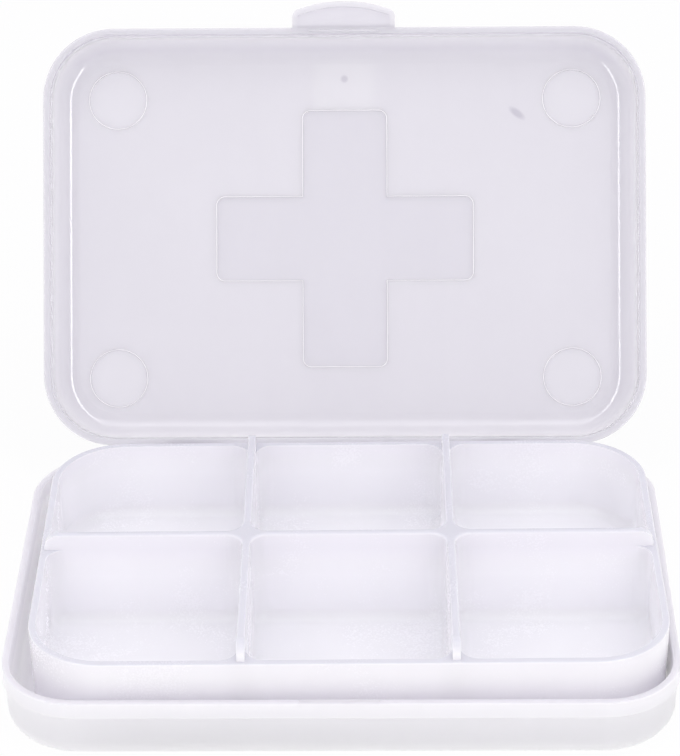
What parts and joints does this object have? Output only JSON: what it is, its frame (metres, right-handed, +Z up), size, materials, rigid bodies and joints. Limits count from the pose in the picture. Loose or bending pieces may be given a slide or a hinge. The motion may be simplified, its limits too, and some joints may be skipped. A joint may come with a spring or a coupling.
{
  "type": "pill organizer",
  "caption": "Flat pocket pill box: a shallow base, a frosted lid hinged at the back with a finger tab, and a loose tray of square compartments.",
  "frame": {"origin": "centre of the base's flat underside, on the surface it stands on", "axes": "+X to the right, +Y towards the hinge at the back, +Z up"},
  "size_m": [0.093, 0.1065, 0.0682],
  "materials": {
    "frosted": "frosted see-through polypropylene, satin",
    "milky": "white polypropylene, soft gloss"
  },
  "bodies": {
    "base": {"base": "frosted"},
    "tray": {"tray": "milky"},
    "lid": {"lid": "frosted"}
  },
  "joints": [
    {"name": "lid_hinge", "type": "hinge", "parent": "base", "child": "lid", "pos_m": [0, 0.0341, 0.00815], "axis": [1, 0, 0], "range_deg": [0, 120]},
    {"name": "tray_lift", "type": "slide", "parent": "base", "child": "tray", "axis": [0, 0, 1], "range_m": [0, 0.03]}
  ]
}
